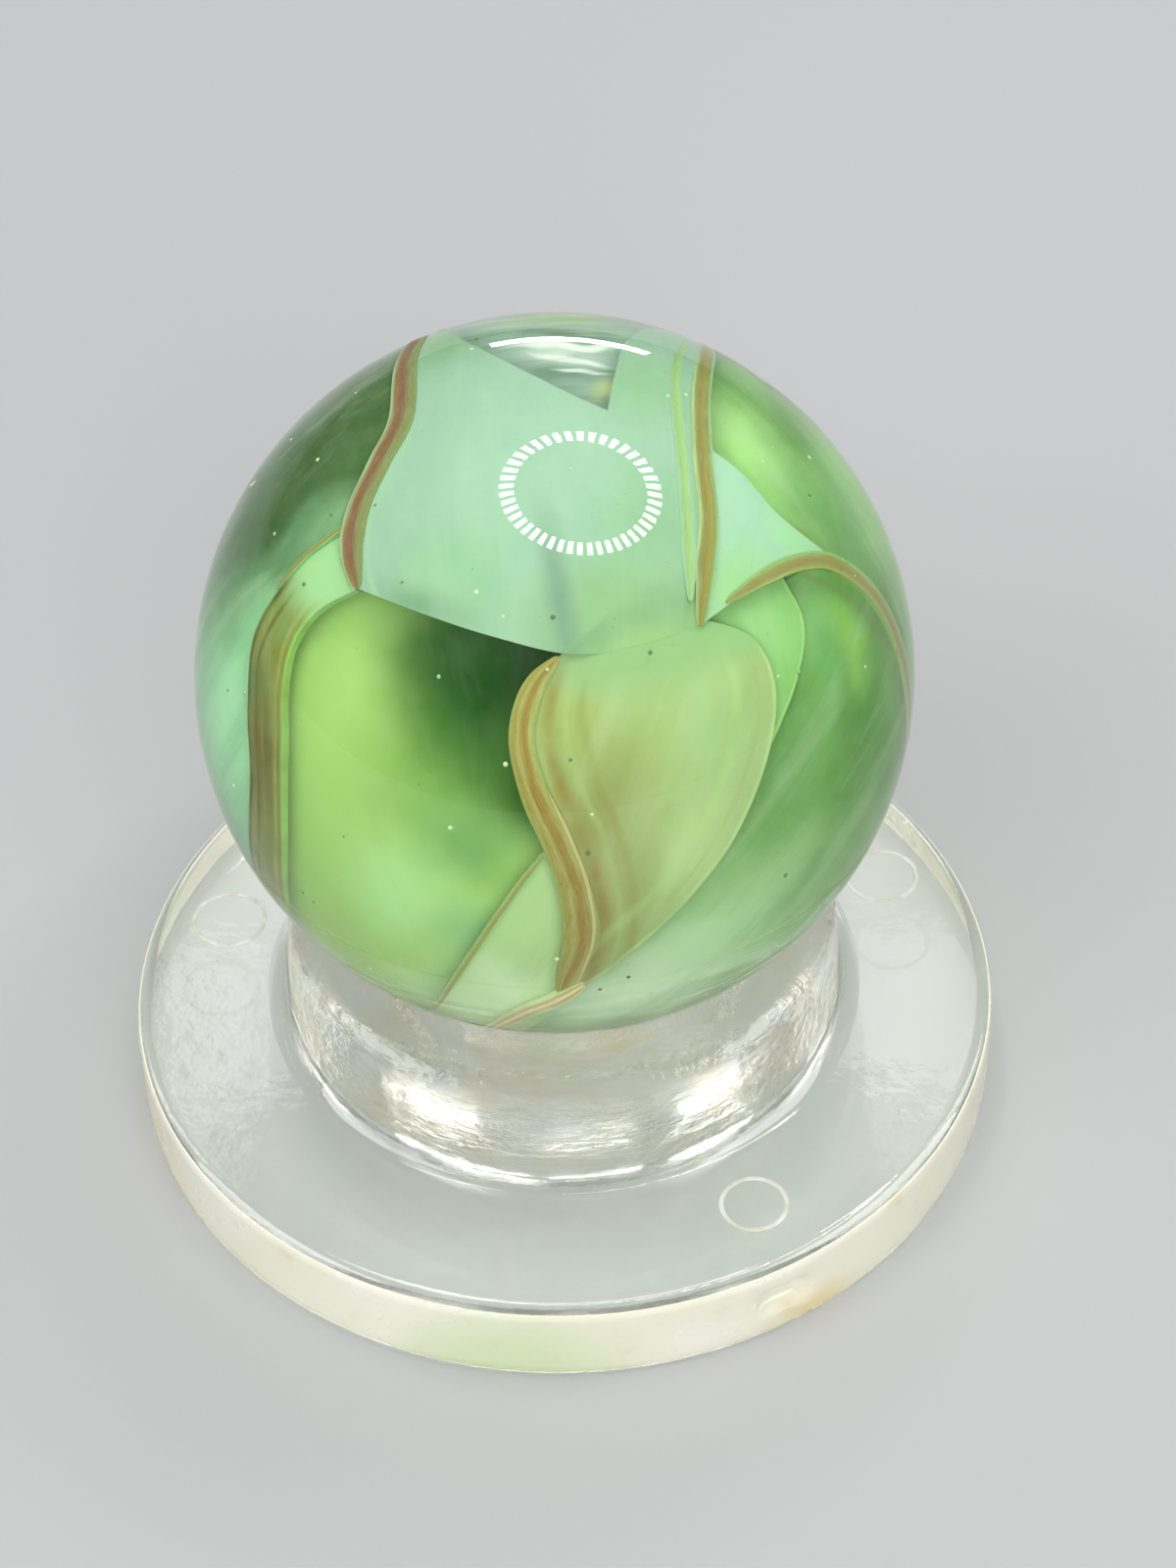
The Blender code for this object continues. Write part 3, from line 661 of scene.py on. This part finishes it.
    lime = glass_paint("lime_glass", (150, 204, 122), (
        (5.4, 5.2, 2.2, (180, 234, 146), 120, 2.0),
        (8.0, 3.8, 2.4, (122, 172, 104), 130, 1.8),
        (7.0, 7.4, 2.6, (116, 160, 90)),
        (10.0, 1.4, 2.4, (110, 156, 84)),
        (6.6, 3.0, 0.7, (136, 176, 84), 150, 3.0),
    ), (
        ("right", 0.8, 0.5, (164, 176, 120), 0.4),
    ), flow=125, stretch=7, streak=0.18)
    top_edge = ((3.6, 13.8), (7.4, 10.6), (10.4, 7.0), (12.2, 3.0), (12.6, -1.0), (12.2, -3.6))
    low_edge = ((3.4, 7.4), (3.4, 5.0), (3.5, 3.0), (5.6, 1.4), (8.6, 0.6), (10.2, -1.6))
    sheet("right_lime_sheet", FRONT, between(low_edge, top_edge, 50, 40), lime, "green_glass",
          depth=0.95, thickness=0.2)


def window_glass():
    """What shows through the clear windows: the bowl and fold at the left, with painted shade in
    the bowl, and wisps on top with painted reflections.
    """
    bowl = glass_paint("deep_green_glass", (170, 211, 118), (
        (-2.9, -2.2, 2.6, (128, 172, 82), 80, 1.4),
        (-2.1, -4.0, 1.9, (118, 170, 92)),
        # Painted light: the pale blobs from (-4.0, -5.6) down are pale glass made paler still for
        # light that the stand sends up into the ball's bottom.
        (-4.0, -5.6, 2.4, (182, 228, 154)),
        (-2.2, -6.7, 1.6, (154, 202, 140)),
        (-2.4, -9.6, 3.2, (182, 220, 162)),
        # Painted shade: these two dark green blobs stand for the shadow that the aqua sheet casts
        # into the bowl under its lower edge.
        (-0.8, -0.2, 3.8, PAINTED_SHADE_GREEN, 160, 1.1, 0.40),
        (-0.6, -2.4, 1.7, (66, 118, 36), 90, 1.4, 0.3),
    ), flow=100, stretch=4, streak=0.05, wobble=0.25, cloud=0.04)
    top = ((-6.6, 2.4), (-4.0, 2.4), (-1.6, 1.8), (1.6, 1.4))
    bottom = ((-8.6, -8.4), (-6.4, -10.6), (-3.6, -11.8), (-0.6, -12.2))
    left = ((-6.6, 2.4), (-7.2, -1.0), (-7.6, -4.6), (-8.6, -8.4))
    right = ((1.6, 1.4), (0.8, -2.0), (1.2, -6.0), (-0.6, -12.2))
    layout = four_sided(top, bottom, left, right, 60, 50)
    deep_spot, deep_reach = (-0.6, 0.4), 3.0
    away = np.linalg.norm(layout - deep_spot, axis=-1)
    deepest = np.exp(-(away / deep_reach) ** 2)
    sheet("inner_green_bowl", FRONT, layout, bowl, "deep_green_glass", "inner_green_vane",
          depth=0.8 + 1.4 * deepest, thickness=0.25)

    fold = glass_paint("fold_glass", (184, 216, 152), (
        (-1.4, -8.8, 2.4, (214, 238, 196)),
    ), flow=60, streak=0.12)
    line = ((-0.35, -4.2), (-0.9, -5.0), (-1.8, -6.4), (-2.9, -8.3), (-4.2, -10.6))
    edge = ((0.2, -3.9), (0.5, -5.0), (0.6, -6.6), (0.2, -8.6), (-1.4, -11.6))
    sheet("lower_fold_sheet", FRONT, between(line, edge, 40, 16), fold, "green_glass", depth=0.45,
          thickness=0.12)

    wisps = glass_paint("wisp_glass_and_painted_glints", (146, 176, 160), (
        # Painted reflections: the white and pale streaks stand for reflected light, and the grey
        # streaks between them for dark reflections.
        (0.4, 8.3, 0.9, (206, 220, 214), 0, 2.2),
        (0.2, 7.3, 0.7, (122, 150, 134), 0, 3.0),
        (0.6, 9.4, 0.6, (108, 128, 112), 0, 3.0),
        (0.6, 10.8, 0.9, (150, 176, 110), 0, 3.0),
        (0.5, 8.75, 0.26, (250, 252, 250), 4, 9.0, 0.3),
        (0.6, 8.10, 0.22, (246, 250, 248), -6, 7.0, 0.3),
        (0.9, 7.55, 0.16, (236, 244, 240), 8, 6.0, 0.3),
        (1.4, 6.80, 0.50, (196, 206, 150), 60, 1.8),
    ), flow=5, stretch=8, streak=0.5, streak_scale=1.6, wobble=0.35)
    left = ((-5.0, 14.4), (-4.6, 12.0), (-3.7, 9.6), (-2.3, 7.4), (-0.3, 5.0))
    right = ((6.2, 14.4), (5.6, 12.0), (4.2, 9.6), (3.0, 7.4), (2.2, 4.6))
    sheet("window_wisps_and_glints", FRONT, between(left, right, 40, 30), wisps, "clear_glass", depth=0.7,
          thickness=0.2)


def front_veins():
    """Tan and brown lines along the sheets' edges, and the stripe down the window's left side."""
    two_tone = vein_paint("tan_glass", (132, 156, 100), OLIVE, OLIVE, ROSE_BROWN, ROSE_BROWN,
                          TAN, (162, 192, 144))
    vein("left_tan_band", FRONT, LEFT_VEIN, two_tone, "tan_glass", "left_tan_vein",
         width=(0.7, 0.6), depth=0.03, thickness=0.4, seed=2)
    ochre = vein_paint("ochre_glass", (158, 190, 136), OLIVE, (154, 148, 72), (146, 130, 66),
                       OLIVE, (176, 196, 138))
    vein("right_tan_band", FRONT, RIGHT_VEIN, ochre, "tan_glass", "right_tan_vein",
         width=(0.5, 0.46), depth=0.03, thickness=0.4, seed=3)
    thread = vein_paint("olive_thread_glass", AQUA, (156, 192, 132), (150, 180, 116), AQUA)
    olive_line = ((4.0, 9.4), (3.2, 7.1), (3.0, 4.6), (2.95, 2.6), (2.9, 1.2))
    vein("right_olive_thread", FRONT, olive_line, thread, "olive_glass", width=(0.36, 0.3),
         depth=0.045, thickness=0.15, seed=4)
    leaf_edge = vein_paint("leaf_edge_glass", (152, 170, 96), (172, 172, 106), (158, 138, 66),
                           (152, 128, 58), (174, 168, 98), (154, 146, 74), (158, 162, 88))
    vein("leaf_tan_band", FRONT, LEAF_VEIN, leaf_edge, "tan_glass", "leaf_tan_vein",
         width=(0.36, 0.95), depth=0.14, thickness=0.4, seed=5)
    pale = vein_paint("pale_tan_glass", (166, 150, 90), CREAM, CREAM, (160, 144, 84))
    cream_line = tuple((x + 0.30, y) for x, y in LEAF_VEIN[3:])
    vein("leaf_cream_thread", FRONT, cream_line, pale, "tan_glass", width=(0.10, 0.14), depth=0.13,
         thickness=0.15, seed=6)
    arc_glass = vein_paint("arc_glass", (150, 190, 124), (150, 150, 90), (150, 138, 84),
                           (156, 176, 100))
    vein("right_tan_arc_band", FRONT, RIGHT_ARC, arc_glass, "tan_glass", "right_tan_arc",
         width=(0.36, 0.56), depth=0.05, thickness=0.35, seed=7)
    swirl = ((0.6, -7.9), (-0.1, -8.6), (-1.0, -9.3), (-1.8, -10.4), (-2.4, -11.8), (-2.6, -13.0))
    # Painted light: the hook's pale colours are its tan and cream made paler still for light that
    # the stand sends up into the ball's bottom.
    hook = vein_paint("hook_glass", (216, 226, 180), (196, 170, 110), (240, 236, 190),
                      (196, 170, 110), (214, 226, 176))
    vein("bottom_tan_hook", FRONT, swirl, hook, "tan_glass", "bottom_tan_swirl", width=(0.5, 0.5),
         depth=0.06, thickness=0.4, seed=8)
    fold_line = ((-0.3, -4.2), (-0.9, -5.0), (-1.8, -6.4), (-2.9, -8.3), (-4.0, -10.4))
    brown = vein_paint("brown_thread_glass", (146, 170, 96), (160, 158, 92), (170, 200, 124))
    vein("fold_brown_thread", FRONT, fold_line, brown, "brown_glass", width=(0.12, 0.18),
         depth=0.38, thickness=0.15, seed=10)
    hint = ((-4.3, 3.3), (-4.9, 3.0), (-5.6, 2.6), (-6.4, 1.95))
    vein("left_tan_thread", FRONT, hint, arc_glass, "tan_glass", width=(0.13, 0.13), depth=0.05,
         thickness=0.15, seed=11)

    stripe = glass_paint("brown_glass", (134, 140, 54), (
        (-6.2, 1.2, 0.9, (136, 160, 92)),
        (-7.1, -0.2, 0.8, (104, 124, 62), 85, 1.6),
        (-7.1, -2.0, 1.1, (108, 98, 0), 85, 1.8),
        (-8.4, -6.2, 1.8, (134, 140, 66)),
    ), (
        ("left", 0.06, 0.30, (70, 70, 12), 0.8),
        ("left", 0.45, 0.24, (112, 88, 0), 0.85),
        ("left", 0.72, 0.20, (150, 150, 78), 0.5),
        ("right", 0.34, 0.30, (180, 188, 108), 0.6),
        ("right", 0.02, 0.36, (164, 212, 118), 0.9),
    ), (
        (-4.9, 2.4, 1.7, (168, 210, 156), 0, 1.0, 0.45),
    ), flow=88, stretch=9, streak=0.14, wobble=0.1)
    sheet("window_brown_stripe", FRONT, between(STRIPE_LEFT, STRIPE_RIGHT, 80, 20), stripe,
          "brown_glass", "window_tan_stripe", depth=0.16, thickness=0.3)


def rear_glass():
    """The far side of the ball: the same kinds of sheet and vein, in a pattern of its own."""
    aqua = glass_paint("rear_aqua_glass", AQUA, (
        (1.6, 8.0, 3.4, (162, 212, 164)),
        (3.4, 2.0, 2.6, (172, 222, 176)),
        (-0.4, 3.0, 0.6, (150, 196, 158), 95, 4.0),
    ), (
        ("left", 0.45, 0.35, (198, 236, 192), 0.7),
    ), flow=100, stretch=6, streak=0.10)
    green = glass_paint("rear_green_glass", (146, 196, 116), (
        (-7.0, 8.0, 3.4, (166, 214, 130)),
        (-6.0, 1.0, 3.0, (110, 164, 84)),
    ), (
        ("left", 0.10, 0.30, (186, 220, 150), 0.8),
        ("right", 0.60, 0.50, (160, 158, 92), 0.6),
    ), flow=75, stretch=7, streak=0.2)
    deep = glass_paint("rear_deep_glass", (120, 168, 96), (
        (6.8, 3.0, 3.0, (78, 124, 56)),
        (0.0, -6.0, 4.0, (150, 196, 120)),
    ), flow=80, stretch=6, streak=0.25)
    tan = vein_paint("rear_tan_glass", (146, 172, 116), OLIVE, ROSE_BROWN, TAN, CREAM,
                     (176, 206, 156))
    line = ((-2.6, 13.4), (-3.4, 11.0), (-2.4, 8.0), (-3.4, 4.0), (-2.0, 0.0), (-2.6, -3.6))
    right = ((3.8, 13.0), (4.7, 11.0), (5.0, 7.5), (3.7, 4.0), (4.8, 0.4), (3.0, -4.6))
    left = ((-8.4, 11.2), (-9.6, 8.4), (-8.4, 5.0), (-7.7, 2.0), (-6.8, -1.0), (-6.6, -4.8))
    far_right = ((6.6, 11.2), (9.8, 8.6), (11.8, 4.6), (12.2, 0.6), (11.0, -3.6), (7.6, -7.6))
    sheet("rear_aqua_sheet", REAR, between(line, right, 56, 40), aqua, "aqua_glass",
          "rear_aqua_band", depth=0.06)
    sheet("rear_green_sheet", REAR, between(left, line, 56, 34), green, "green_glass",
          "rear_green_band", depth=0.35)
    sheet("rear_deep_sheet", REAR, between(right, far_right, 56, 36), deep, "green_glass",
          depth=0.8, thickness=0.2)
    bowl = glass_paint("rear_bowl_glass", (150, 204, 110), (
        # Painted shade: the dark green blob at the bowl's upper side.
        (-8.6, 3.6, 3.6, PAINTED_SHADE_GREEN, 90, 1.2, 0.3),
        (-9.6, -4.6, 3.6, (176, 222, 152)),
    ), flow=100, stretch=4, streak=0.08, wobble=0.3)
    bowl_left = ((-12.4, 9.0), (-13.6, 4.0), (-14.0, -1.0), (-12.8, -6.4), (-9.0, -10.4))
    bowl_right = ((-7.2, 10.4), (-7.0, 5.4), (-6.0, 1.0), (-5.8, -3.4), (-4.4, -8.4))
    sheet("rear_green_bowl", REAR, between(bowl_left, bowl_right, 50, 30), bowl, "deep_green_glass",
          depth=1.3, thickness=0.2)
    vein("rear_tan_band", REAR, line, tan, "tan_glass", "rear_tan_vein", width=(0.6, 0.5),
         depth=0.03, thickness=0.5, seed=12)
    vein("rear_tan_thread", REAR, right, tan, "tan_glass", width=(0.3, 0.4), depth=0.03,
         thickness=0.4, seed=13)


def bubbles():
    """Small seeds of trapped air and grit close under the surface, joined in one piece."""
    seed_count = 60
    rng = random.Random(21)
    points, faces = [], []
    ball, ball_faces = quad_ball_points(4)
    for _ in range(seed_count):
        layout = np.array([[rng.uniform(-10, 10), rng.uniform(-9, 9)]])
        direction = FRONT.directions(layout)[0]
        size = rng.uniform(0.02, 0.055)
        depth = rng.uniform(0.02, 0.05) + size
        centre = np.array(BALL_CENTRE) + direction * (BALL_RADIUS - depth)
        start = sum(len(p) for p in points)
        points.append(centre + ball * size)
        faces += [[start + i for i in face] for face in ball_faces]
    mesh = closed_mesh("trapped_seeds", np.vstack(points), faces)
    paint = Paint("seed_glass")
    mottle = paint.noise(paint.object_mm(), 0.7, 2.0)
    shade = paint.mix(paint.range(mottle, 0.5, 0.56), (214, 232, 194), (92, 124, 74))
    paint.set(Base_Color=shade, Roughness=0.3)
    add_piece("trapped_seeds", mesh, "ball", "clear_glass", paint.material)


# ------------------------------ the stand

def arc(centre_r, centre_z, radius, start, end, steps):
    """Points (radius, height) on an arc, between two angles in degrees."""
    angles = np.radians(np.linspace(start, end, steps + 1))
    return [(centre_r + radius * math.cos(a), centre_z + radius * math.sin(a)) for a in angles]


def stand_outline():
    """The stand's half section: over the collar, down its wall, out over the disc, and back in."""
    shoulder, fillet, seat_width = 0.55, 0.55, 0.35
    lean = COLLAR_LEAN / (COLLAR_TOP - DISC_THICKNESS)
    collar_side = COLLAR_FOOT_RADIUS - lean * (COLLAR_TOP - shoulder - DISC_THICKNESS)
    mouth = BORE_RADIUS + seat_width
    rest = BALL_CENTRE.z - math.sqrt(BALL_RADIUS ** 2 - mouth ** 2)
    # Over the collar's shoulder, down its wall, and out over the fillet to the disc's edge
    points = arc(collar_side - shoulder, COLLAR_TOP - shoulder, shoulder, 92, 0, 14)
    points += arc(COLLAR_FOOT_RADIUS + fillet, DISC_THICKNESS + fillet, fillet, 182, 268, 12)
    points += arc(DISC_RADIUS - DISC_EDGE, DISC_THICKNESS - DISC_EDGE, DISC_EDGE, 90, 2, 12)
    points += [(DISC_RADIUS, z) for z in np.linspace(WALL_TOP, 0.3, 9)]
    points += arc(DISC_RADIUS - 0.14, 0.14, 0.13, -5, -90, 4)
    # In along the underside, up the bore, and out over the lip that the ball rests on
    points += [(BORE_RADIUS + 0.1, 0.01), (BORE_RADIUS, 0.1), (BORE_RADIUS, rest - 0.55)]
    points += arc(mouth + 0.12, rest - 0.22, 0.3, 170, 96, 8)
    points += [(mouth + 0.75, COLLAR_TOP - 0.09)]
    return np.array(points)


def gate_nick(points):
    """Presses in the small scar on the disc's wall where the moulding was cut from its gate."""
    depth, wall = 0.25, 0.6
    half_width, half_height = (0.35, 0.75), (0.15, 0.5)     # where it is full, and where it ends
    angle = math.radians(GATE_ANGLE)
    heading = np.array([math.cos(angle), math.sin(angle)])
    beside = np.abs(points[:, 0] * heading[1] - points[:, 1] * heading[0])
    ahead = points[:, :2] @ heading
    height = np.abs(points[:, 2] - DISC_THICKNESS / 2)
    share = (1 - smooth_step(beside, *half_width)) * (1 - smooth_step(height, *half_height))
    share = np.where(ahead > DISC_RADIUS - wall, share, 0)
    pressed = points.copy()
    pressed[:, :2] -= np.outer(share * depth, heading)
    return pressed


def ring_faces(rings, each, start=0):
    """Faces that join closed rings of so many points each, and the last ring to the first."""
    faces = []
    for i in range(rings):
        here, ahead = start + i * each, start + (i + 1) % rings * each
        for j in range(each):
            after = (j + 1) % each
            faces.append((here + j, ahead + j, ahead + after, here + after))
    return faces


def turned_solid(name, profile):
    """Closed mesh made by turning a closed section round the stand's axis."""
    turn = np.linspace(0, 2 * math.pi, STAND_STEPS, endpoint=False)
    r, z = profile[:, 0], profile[:, 1]
    rings = np.stack([np.outer(np.cos(turn), r), np.outer(np.sin(turn), r),
                      np.broadcast_to(z, (STAND_STEPS, len(z)))], -1)
    points = gate_nick(rings.reshape(-1, 3))
    return closed_mesh(name, points, ring_faces(STAND_STEPS, len(profile)), sharp=30)


def display_stand():
    mesh = turned_solid("clear_stand", stand_outline())
    return add_piece("clear_stand", mesh, "stand", "clear_plastic", clear_plastic_paint(),
                     "display_stand")


def frosted_rim():
    """The disc's outer wall as a thin skin: cream, rubbed dull, with ochre patches and a painted
    patch of green light.
    """
    proud, thickness = 0.012, 0.05
    section = arc(DISC_RADIUS - DISC_EDGE, DISC_THICKNESS - DISC_EDGE, DISC_EDGE + proud, 28, 0, 4)
    section += [(DISC_RADIUS + proud, z) for z in np.linspace(WALL_TOP, 0.35, 10)]
    section += [(DISC_RADIUS - 0.002, 0.2), (DISC_RADIUS - 0.03, 0.1)]
    outer = np.array(section)
    inner = outer - (thickness, 0)
    mesh = turned_solid("rim_skin", np.vstack([outer, inner[::-1]]))
    paint = Paint("rim_plastic")
    place = paint.object_mm()
    patchy = paint.noise(place, 0.35, 4.0, 0.6)
    shade = paint.mix(paint.range(patchy, 0.35, 0.65), (255, 252, 240), (248, 246, 226))
    shade = paint.blobs(place, shade, (
        # Painted light: the green patch in front stands for green light that the ball casts onto
        # the wall.
        (-1.4, -10.1, 3.0, (226, 238, 198), 0, 1.2, 0.2),
        (5.6, -8.5, 1.4, (244, 228, 178), 35, 1.0, 0.1),
        (-9.6, -3.6, 2.4, (255, 248, 218), -65, 1.4, 0.2),
    ))
    stains = paint.noise(place, 0.7, 3.0, 0.6)
    shade = paint.mix(paint.range(stains, 0.60, 0.82, 0.0, 0.6), shade, (232, 210, 156))
    rough = paint.range(patchy, 0.35, 0.65, 0.2, 0.45)
    paint.set(Base_Color=shade, Transmission_Weight=0.15, IOR=1.4, Roughness=rough)
    paint.let_lamps_through((232, 230, 218))
    paint.bump(paint.noise(place, 1.5, 3.0), 0.12, 0.00003)
    add_piece("rim_skin", mesh, "stand", "clear_plastic", paint.material)


def ejector_rings():
    """The three faint raised rings that ejector pins leave on the disc's top face."""
    around, section = 64, 8
    half_width, half_height = 0.055, 0.033
    pitch = (COLLAR_FOOT_RADIUS + DISC_RADIUS) / 2
    points, faces = [], []
    for degrees, size in EJECTOR_MARKS:
        angle = math.radians(degrees)
        middle = np.array([pitch * math.cos(angle), pitch * math.sin(angle), DISC_THICKNESS])
        faces += ring_faces(around, section, start=len(points))
        for i in range(around):
            a = 2 * math.pi * i / around
            for j in range(section):
                b = 2 * math.pi * j / section
                reach = EJECTOR_RING_RADIUS * size + half_width * math.cos(b)
                points.append(middle + (reach * math.cos(a), reach * math.sin(a),
                                        half_height * math.sin(b)))
    mesh = closed_mesh("ejector_rings", points, faces)
    paint = Paint("ejector_ring_plastic")
    mottle = paint.noise(paint.object_mm(), 2.2, 3.0)
    shade = paint.mix(paint.range(mottle, 0.35, 0.65), (252, 253, 250), (226, 222, 206))
    paint.set(Base_Color=shade, Roughness=0.25, Transmission_Weight=0.3)
    paint.let_lamps_through((236, 236, 232))
    add_piece("ejector_rings", mesh, "stand", "clear_plastic", paint.material)


# ------------------------------ floor, light and camera

def stage_object(name, points, faces, paint):
    """Object of the scene around the part, from points in metres."""
    mesh = bpy.data.meshes.new(name)
    mesh.from_pydata([tuple(p) for p in points], [], faces)
    mesh.materials.append(paint.material)
    add_object(name, mesh)


def floor():
    half, height = 0.6, -0.00002
    corners = [(-half, -half, height), (half, -half, height), (half, half, height),
               (-half, half, height)]
    paint = Paint("pale_floor")
    paint.set(Base_Color=(190, 191, 192), Roughness=0.7)
    stage_object("floor", corners, [(0, 1, 2, 3)], paint)


def studio():
    """Grey surroundings, paler overhead, and the lamps that light everything."""
    world = bpy.data.worlds.new("studio")
    bpy.context.scene.world = world
    world.use_nodes = True
    tree = world.node_tree
    sky = tree.nodes["Background"]
    place = tree.nodes.new("ShaderNodeTexCoord")
    parts = tree.nodes.new("ShaderNodeSeparateXYZ")
    ramp = tree.nodes.new("ShaderNodeValToRGB")
    tree.links.new(place.outputs["Generated"], parts.inputs[0])
    tree.links.new(parts.outputs[2], ramp.inputs[0])
    tree.links.new(ramp.outputs[0], sky.inputs[0])
    low, high = ramp.color_ramp.elements
    low.position, low.color = 0.0, (0.16, 0.17, 0.18, 1)
    high.position, high.color = 0.8, (0.44, 0.455, 0.47, 1)

    add_lamp("softbox_left", (-0.28, -0.26, 0.34), 0.36, 0.36, 0.8)
    add_lamp("softbox_front", (0.10, -0.42, 0.24), 0.36, 0.36, 1.15)
    add_lamp("strip_back", (0.02, 0.42, 0.075), 0.16, 0.025, 0.14, shows=True)
    ring_light()


def add_lamp(name, place, width, height, power, shows=False, fills=True):
    """Soft lamp aimed at the object: it shows in the gloss, or fills the dull surfaces, or both."""
    lamp = bpy.data.lights.new(name, "AREA")
    lamp.shape = "RECTANGLE"
    lamp.size = width
    lamp.size_y = height
    lamp.energy = power
    made = add_object(name, lamp)
    made.location = place
    made.visible_glossy = shows
    made.visible_diffuse = fills
    face_along(made, Vector((0, 0, 0.01)) - made.location)
    return made


def stand_glints(stand):
    """Lamps for the gloss of the clear plastic alone, which light nothing else."""
    lit = bpy.data.collections.new("lit_by_glints")
    lit.objects.link(stand)
    # Each lamp's name, place, width, height and power
    lamps = (("glint_left", (-0.28, -0.08, 0.15), 0.24, 0.30, 1.4),
             ("glint_right", (0.28, -0.04, 0.17), 0.24, 0.30, 1.4),
             ("glint_top", (-0.03, 0.06, 0.42), 0.26, 0.14, 0.8),
             ("glint_back", (0.0, 0.37, 0.13), 0.46, 0.11, 0.8),
             ("glint_front", (-0.06, -0.36, 0.10), 0.20, 0.03, 0.12),
             ("sheen_left", (-0.052, 0.262, 0.245), 0.045, 0.10, 0.027),
             ("sheen_right", (0.054, 0.262, 0.245), 0.045, 0.10, 0.029))
    for lamp in lamps:
        made = add_lamp(*lamp, shows=True, fills=False)
        made.light_linking.receiver_collection = lit


def ring_light():
    """Round lamp overhead, made of small glowing plates."""
    centre = Vector((0.022, 0.026, 0.165))
    axis = (centre - Vector((0, 0, 0.012))).normalized()
    across = axis.cross(Vector((0, 1, 0))).normalized()
    up = across.cross(axis)
    radius, width, count, half_plate = 0.056, 0.012, 44, 0.28
    points, faces = [], []
    for i in range(count):
        for share in (-half_plate, half_plate):
            turn = 2 * math.pi * (i + share) / count
            for reach in (radius - width / 2, radius + width / 2):
                points.append(centre + (across * math.cos(turn) + up * math.sin(turn)) * reach)
        first = 4 * i
        faces.append((first, first + 1, first + 3, first + 2))
    paint = Paint("ring_lamp_glow")
    paint.set(Base_Color=(0, 0, 0), Emission_Color=(1, 0.98, 0.95, 1), Emission_Strength=20.0)
    stage_object("ring_lamp", points, faces, paint)


def camera():
    """Camera at the photographed angle: a long lens, looking down at about 44 degrees."""
    elevation, distance, roll = math.radians(43.77), 86.0 * MM, -0.0235
    aim = Vector((0.68, 4.23, 4.42)) * MM
    back = Vector((0, -math.cos(elevation), math.sin(elevation)))
    lens = bpy.data.cameras.new("camera")
    lens.sensor_width = 36
    lens.lens = 81
    lens.clip_start = 0.001
    made = add_object("camera", lens)
    made.location = aim + back * distance
    face_along(made, -back, roll)
    bpy.context.scene.camera = made


bpy.context.scene.view_settings.view_transform = "Standard"
camera()
floor()
studio()
clear_ball()
front_sheets()
window_glass()
front_veins()
rear_glass()
bubbles()
stand_glints(display_stand())
frosted_rim()
ejector_rings()
